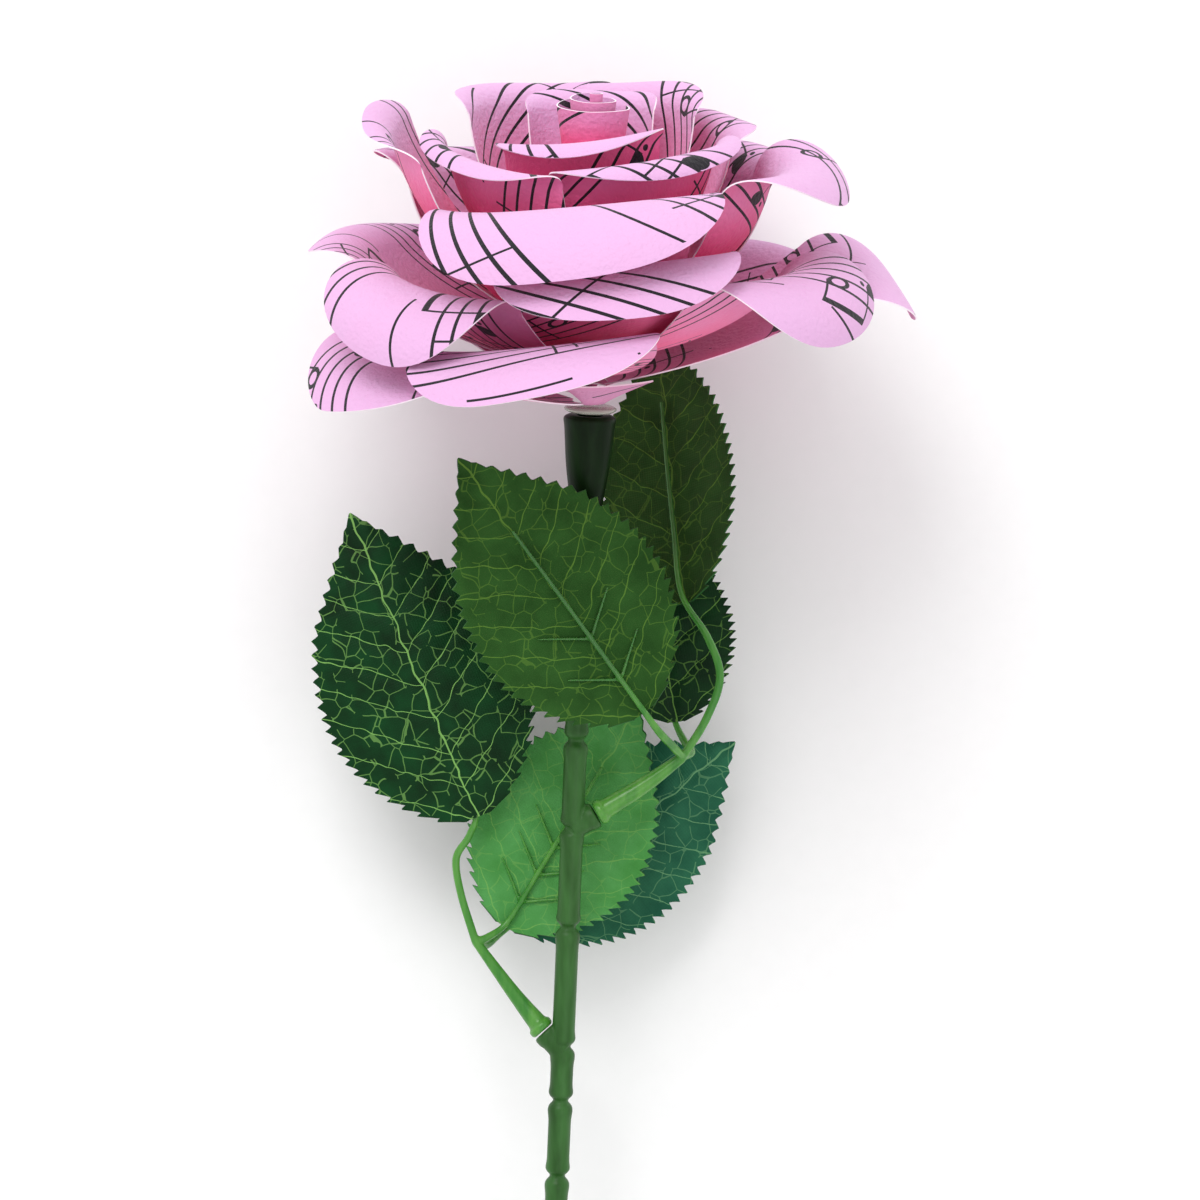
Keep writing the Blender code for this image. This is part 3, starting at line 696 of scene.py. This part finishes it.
class Blade:
    """Where a leaf lies: its midrib, the way across it and the way out of its upper side."""

    def __init__(self, foot, tip, half, roll, rise, fold, ribbed):
        self.foot, self.half, self.rise, self.fold = np.array(foot) + FLOWER, half, rise, fold
        self.ribbed = ribbed
        self.way = np.array(tip) + FLOWER - self.foot
        self.length = np.linalg.norm(self.way)
        side = np.cross(self.way / self.length, (0, 0, 1))
        side /= np.linalg.norm(side)
        face = np.cross(side, self.way / self.length)
        turn = math.radians(roll)
        self.side = side * math.cos(turn) + face * math.sin(turn)
        self.face = face * math.cos(turn) - side * math.sin(turn)

    def at(self, along, aside, over=0.0):
        """foot + along way + aside side + (over + rise sin(pi along) + fold |aside|) face."""
        over = over + self.rise * np.sin(along * math.pi) + self.fold * np.abs(aside)
        return (self.foot + along[..., None] * self.way + aside[..., None] * self.side
                + over[..., None] * self.face)

    def cut(self, across, along):
        """The die's outline: share along the midrib and millimetres aside from it."""
        saw = along * LEAF_TEETH % 1
        along = 0.01 + 0.985 * along
        egg = np.sin(math.pi * along**0.8) ** 0.8 * np.clip((1 - along) / 0.3, 0, 1) ** 0.35
        deep = TOOTH * saw**1.3 * np.clip((1 - saw) * 8, 0, 1) * np.clip(egg * 3, 0, 1)
        return along, across * (self.half * egg + deep)


def pressed(blade, along, aside, across):
    """The quilting: 0 on the midrib and the veins, with a bulge away from the ribbed side
    between them, -ribbed PILLOW |sin(pi climb)|^0.6 (1 - |across|^3)(1 - e^-(aside/1.1)^2)."""
    climb = (along * blade.length - VEIN_SLANT * np.abs(aside)) / VEIN_PITCH
    pillow = np.abs(np.sin(math.pi * climb)) ** 0.6 * (1 - np.abs(across) ** 3)
    gutter = 1 - np.exp(-((aside / 1.1) ** 2))
    return -blade.ribbed * PILLOW * pillow * gutter


# %% [markdown]
# The cloth is woven polyester, dyed green and stiffened. Its threads, about 0.3 mm apart,
# are drawn at 0.45 mm so that they show. The veins are printed paler on it: a midrib, side
# veins at the pressed pitch, and a fine net between.

# %% Leaf cloth
WEAVE = 0.45
WANDER = 2.2  # mm that a printed vein wanders from its rule


def leaf_cloth(name, dark, light, vein, roughness, vein_strength):
    """Woven cloth: mottled green with printed veins, and threads as two crossed waves."""
    made, tree, shader = blank(name, Roughness=roughness, IOR=1.5, Sheen_Weight=0.04,
                               Specular_IOR_Level=0.12)
    spot = add(tree, "UVMap", {}, uv_map="cut")
    wander = add(tree, "TexNoise", {"Vector": spot, "Scale": 0.22, "Detail": 1.0}, "Color")
    bent = add(tree, "VectorMath", {0: wander, 1: (WANDER, WANDER, 0.0), 2: spot}, 0,
               operation="MULTIPLY_ADD")
    x, y = (add(tree, "SeparateXYZ", {0: bent}, i) for i in range(2))
    away = ("ABSOLUTE", ("SUBTRACT", x, WANDER / 2))
    climb = ("ADD", ("SUBTRACT", y, ("MULTIPLY", away, VEIN_SLANT)), 100 * VEIN_PITCH - WANDER / 2)
    side_vein = ("LESS_THAN", ("PINGPONG", climb, VEIN_PITCH / 2), 0.09)
    midrib = ("LESS_THAN", away, 0.16)
    net = add(tree, "TexVoronoi", {"Vector": bent, "Scale": 0.3}, "Distance",
              feature="DISTANCE_TO_EDGE")
    broken = add(tree, "TexNoise", {"Vector": spot, "Scale": 0.3, "Detail": 0.0})
    fine = ("MULTIPLY", ("GREATER_THAN", broken, 0.38), 0.5)
    fine = ("MULTIPLY", ("LESS_THAN", net, 0.022), fine)
    veins = ("MULTIPLY", ("MAXIMUM", ("MAXIMUM", side_vein, midrib), fine), vein_strength)
    cloud = add(tree, "TexNoise", {"Vector": spot, "Scale": 0.16, "Detail": 4.0})
    tone = add(tree, "MapRange", {0: cloud, 1: 0.3, 2: 0.7})
    green = add(tree, "Mix", {0: tone, 6: linear(dark), 7: linear(light)}, 2, data_type="RGBA")
    colour = add(tree, "Mix", {0: veins, 6: green, 7: linear(vein)}, 2, data_type="RGBA")
    tree.links.new(colour, shader.inputs["Base Color"])
    x, y = (add(tree, "SeparateXYZ", {0: spot}, i) for i in range(2))
    turn = 2 * math.pi / WEAVE
    threads = ("ADD", ("SINE", ("MULTIPLY", x, turn)), ("SINE", ("MULTIPLY", y, turn)))
    threads = ("MULTIPLY_ADD", threads, 0.25, 0.5)
    bump = add(tree, "Bump", {"Strength": 0.6, "Distance": 0.06 * MM, "Height": threads})
    tree.links.new(bump, shader.inputs["Normal"])
    return made


# dark and light tone of each leaf's upper side, its veins, and how strongly they are printed. One
# cloth gets its own tones on each leaf: besides the side that faces up, they hold painted light and
# shade, lightest on the middle leaf and near black on the left and small right leaves.
LEAF_TONES_WITH_PAINTED_SHADE = {
    "leaf_front": ("#1f4515", "#2e5a22", "#6f9a3a", 0.5),
    "leaf_upper_right": ("#1f3f13", "#2d521f", "#6a9436", 0.5),
    "leaf_small_right": ("#02210a", "#0a3814", "#6f9f48", 0.7),
    "leaf_left": ("#012408", "#07401a", "#86bd62", 0.8),
    "leaf_middle": ("#43893f", "#58a057", "#84b95c", 0.5),
    "leaf_lower_right": ("#14513a", "#296a4b", "#7fb780", 0.6),
}
cloth_far = leaf_cloth("woven_polyester_leaf_far_side", "#16401a", "#2a6130", "#5f9a55", 0.65, 0.6)
cloth_edge = leaf_cloth("die_cut_leaf_edge", "#1f4a20", "#2f6a30", "#3f7d3a", 0.6, 0.0)


# %% Make the leaves
def make_leaf(name, blade):
    across, along = across_and_along(LEAF_ROWS, LEAF_COLUMNS)
    share, aside = blade.cut(across, along)
    points = blade.at(share, aside, pressed(blade, share, aside, across))
    shell, faces, slots = both_sides(points, LEAF)
    cut = np.stack([aside, share * blade.length], axis=-1)
    *tones, strength = LEAF_TONES_WITH_PAINTED_SHADE[name]
    roughness = 0.75 if blade.ribbed > 0 else 0.5  # the underside is the duller
    near = leaf_cloth("woven_polyester_" + name, *tones, roughness, strength)
    piece = put(name + "_blade", shell, faces, slots, (near, cloth_far, cloth_edge),
                {"cut": np.stack([cut, cut])})
    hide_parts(name)


blades = {name: Blade(*numbers) for name, numbers in LEAVES.items()}
for name, blade in blades.items():
    make_leaf(name, blade)


# %% [markdown]
# ## Sprays
# A spray is one moulding: a stalk that plugs into its socket, a fork, and three petioles
# that carry on as the ribs of the leaves, with short side ribs that lie just over the cloth
# of two of them. Each is a tapered rod along a smooth curve, and the remesh melts them into
# one skin.

# %% Spray routes: millimetres from the bloom's foot and a radius at each point
STALK_RADIUS = 1.9
STALKS = {
    "spray_right": ((9.5, -65.2, 33.4, 1.5), (16.4, -60.2, 34.0, 0.95)),
    "spray_left": ((-13.5, -103.0, 25.0, 1.3), (-20.6, -93.4, 24.5, 0.8)),
}
BRANCHES = {
    "spray_right": {
        "leaf_upper_right": ((20.6, -53.4, 34.0, 0.75), (23.0, -46.0, 34.8, 0.75),
                             (20.8, -39.0, 34.4, 0.7)),
        "leaf_front": ((14.4, -58.0, 38.0, 0.75), (12.0, -55.4, 42.2, 0.7)),
        "leaf_small_right": ((18.0, -59.4, 30.0, 0.75), (16.8, -57.6, 25.8, 0.7)),
    },
    "spray_left": {
        "leaf_left": ((-23.2, -84.9, 24.5, 0.7), (-24.0, -78.6, 24.8, 0.7),
                      (-21.6, -74.4, 25.4, 0.65)),
        "leaf_middle": ((-18.4, -92.8, 24.0, 0.7),),
        "leaf_lower_right": ((-18.8, -94.6, 19.0, 0.7), (-16.4, -92.8, 14.0, 0.65)),
    },
}
SIDE_RIB, SIDE_GAP = 0.34, 0.12
SHOWS_THROUGH = 0.85
SIDE_RIBS = {"leaf_middle": (0.12, 0.24, 0.36), "leaf_front": (0.14, 0.3)}  # shares of the midrib


def in_world(rows):
    """The same rows with the flower's place on the table added to x, y and z."""
    return np.array(rows, float) + np.array([*FLOWER, 0])


def spray_parts(name):
    down, way = SOCKETS[name]
    way = np.array(way) / np.linalg.norm(way)
    root = on_axis([-down])[0] + (SOCKET_REACH + GAP) * way
    stalk = smooth_route([(*root, STALK_RADIUS), *in_world(STALKS[name])], 14)
    collar = root + np.array([[0], [0.3], [1.2], [1.6]]) * way
    parts = [(stalk[:, :3], stalk[:, 3]), (collar, np.array([2.0, 2.3, 2.3, 1.8]))]
    fork = in_world([STALKS[name][-1]])[0]
    for leaf, points in BRANCHES[name].items():
        blade = blades[leaf]
        over = blade.ribbed * (CAD_LEAF / 2 + RIB_RADIUS + GAP)
        share = np.array([0.04, 0.25, 0.5, RIB_SHARE])
        rib = blade.at(share, np.zeros(4), over)
        radius = np.interp(share, [0, 1], [RIB_RADIUS, 0.3])
        route = smooth_route([(*fork[:3], 0.75), *in_world(points),
                              *np.column_stack([rib, radius])], 12)
        parts.append((route[:, :3], route[:, 3]))
        for start in SIDE_RIBS.get(leaf, ()):
            for hand in (-1, 1):
                aside = hand * np.linspace(0, 0.45 * blade.half, 8)
                share = start + np.abs(aside) * VEIN_SLANT / blade.length
                height = blade.ribbed * (LEAF / 2 + SIDE_RIB + SIDE_GAP)
                height = height + pressed(blade, share, aside, aside / blade.half)
                radii = np.linspace(SIDE_RIB, SIDE_RIB * 0.6, 8)
                parts.append((blade.at(share, aside, height), radii))
    return parts


def mark_on_leaf(piece):
    """Stores how far a point is along its leaf, from 0 on a petiole up to SHOWS_THROUGH out
    on a rib, where the cloth shows through the thin plastic. The middle leaf's ribs stay 0."""
    mesh = piece.data
    points = np.empty(len(mesh.vertices) * 3)
    mesh.vertices.foreach_get("co", points)
    points = points.reshape(-1, 3) / MM
    most = np.zeros(len(points))
    for name, blade in blades.items():
        away = points - blade.foot
        share = away @ blade.way / blade.length**2
        near = (np.abs(away @ blade.side) < blade.half) & (np.abs(away @ blade.face) < 5)
        if name != "leaf_middle":
            most = np.maximum(most, near * np.clip(share * 4, 0, SHOWS_THROUGH))
    mesh.attributes.new("on_leaf", "FLOAT", "POINT").data.foreach_set("value", most)


for name in BRANCHES:
    piece = moulded(name + "_moulding", spray_parts(name), VOXEL, spray_green)
    mark_on_leaf(piece)
    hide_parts(name)


# %% [markdown]
# ## Table, light and camera
# A white table under a bright, even room, with one large soft light from beyond the bloom,
# so that the flaps are lit on top and the gaps between the layers stay dark. The camera
# looks straight down.

# %% Stage
TABLE_SIZE, TABLE_TOP = 4, -0.0002  # metres; the top is just under the lowest sheet
bpy.ops.mesh.primitive_plane_add(size=TABLE_SIZE, location=(0, 0, TABLE_TOP))
table = bpy.context.object
table.name = "table_top"
white, tree, shader = blank("matt_white_board", Roughness=0.8)
speck = add(tree, "TexNoise", {"Vector": add(tree, "TexCoord", {}, "Object"), "Scale": 300.0})
board = add(tree, "Mix", {0: speck, 6: linear("#f7f7f7"), 7: linear("#fbfbfb")}, 2,
            data_type="RGBA")
tree.links.new(board, shader.inputs["Base Color"])
table.data.materials.append(white)

world = bpy.data.worlds.new("bright_room")
bpy.context.scene.world = world
world.use_nodes = True
world.node_tree.nodes["Background"].inputs["Color"].default_value = (1, 1, 1, 1)
world.node_tree.nodes["Background"].inputs["Strength"].default_value = 0.88


def soft_light(name, place, watts, size):
    """A square area light at a place, turned to face the bloom."""
    made = bpy.data.lights.new(name, "AREA")
    made.energy, made.size = watts, size
    lamp = bpy.data.objects.new(name, made)
    lamp.location = place
    aim = np.array((0.0, 0.09, 0.05)) - place
    lamp.rotation_euler = (math.atan2(math.hypot(aim[0], aim[1]), -aim[2]), 0,
                           math.atan2(-aim[0], aim[1]))
    bpy.context.scene.collection.objects.link(lamp)


soft_light("window", (-0.2, 0.6, 0.7), 2.9, 0.4)
soft_light("fill", (0.3, -0.3, 0.9), 0.8, 0.6)

bpy.context.scene.view_settings.view_transform = "Standard"
camera = bpy.data.cameras.new("overhead")
camera.lens, camera.sensor_width = 155, 36
eye = bpy.data.objects.new("overhead", camera)
eye.location = (-0.0019, 0.0609, 0.95)
bpy.context.scene.collection.objects.link(eye)
bpy.context.scene.camera = eye
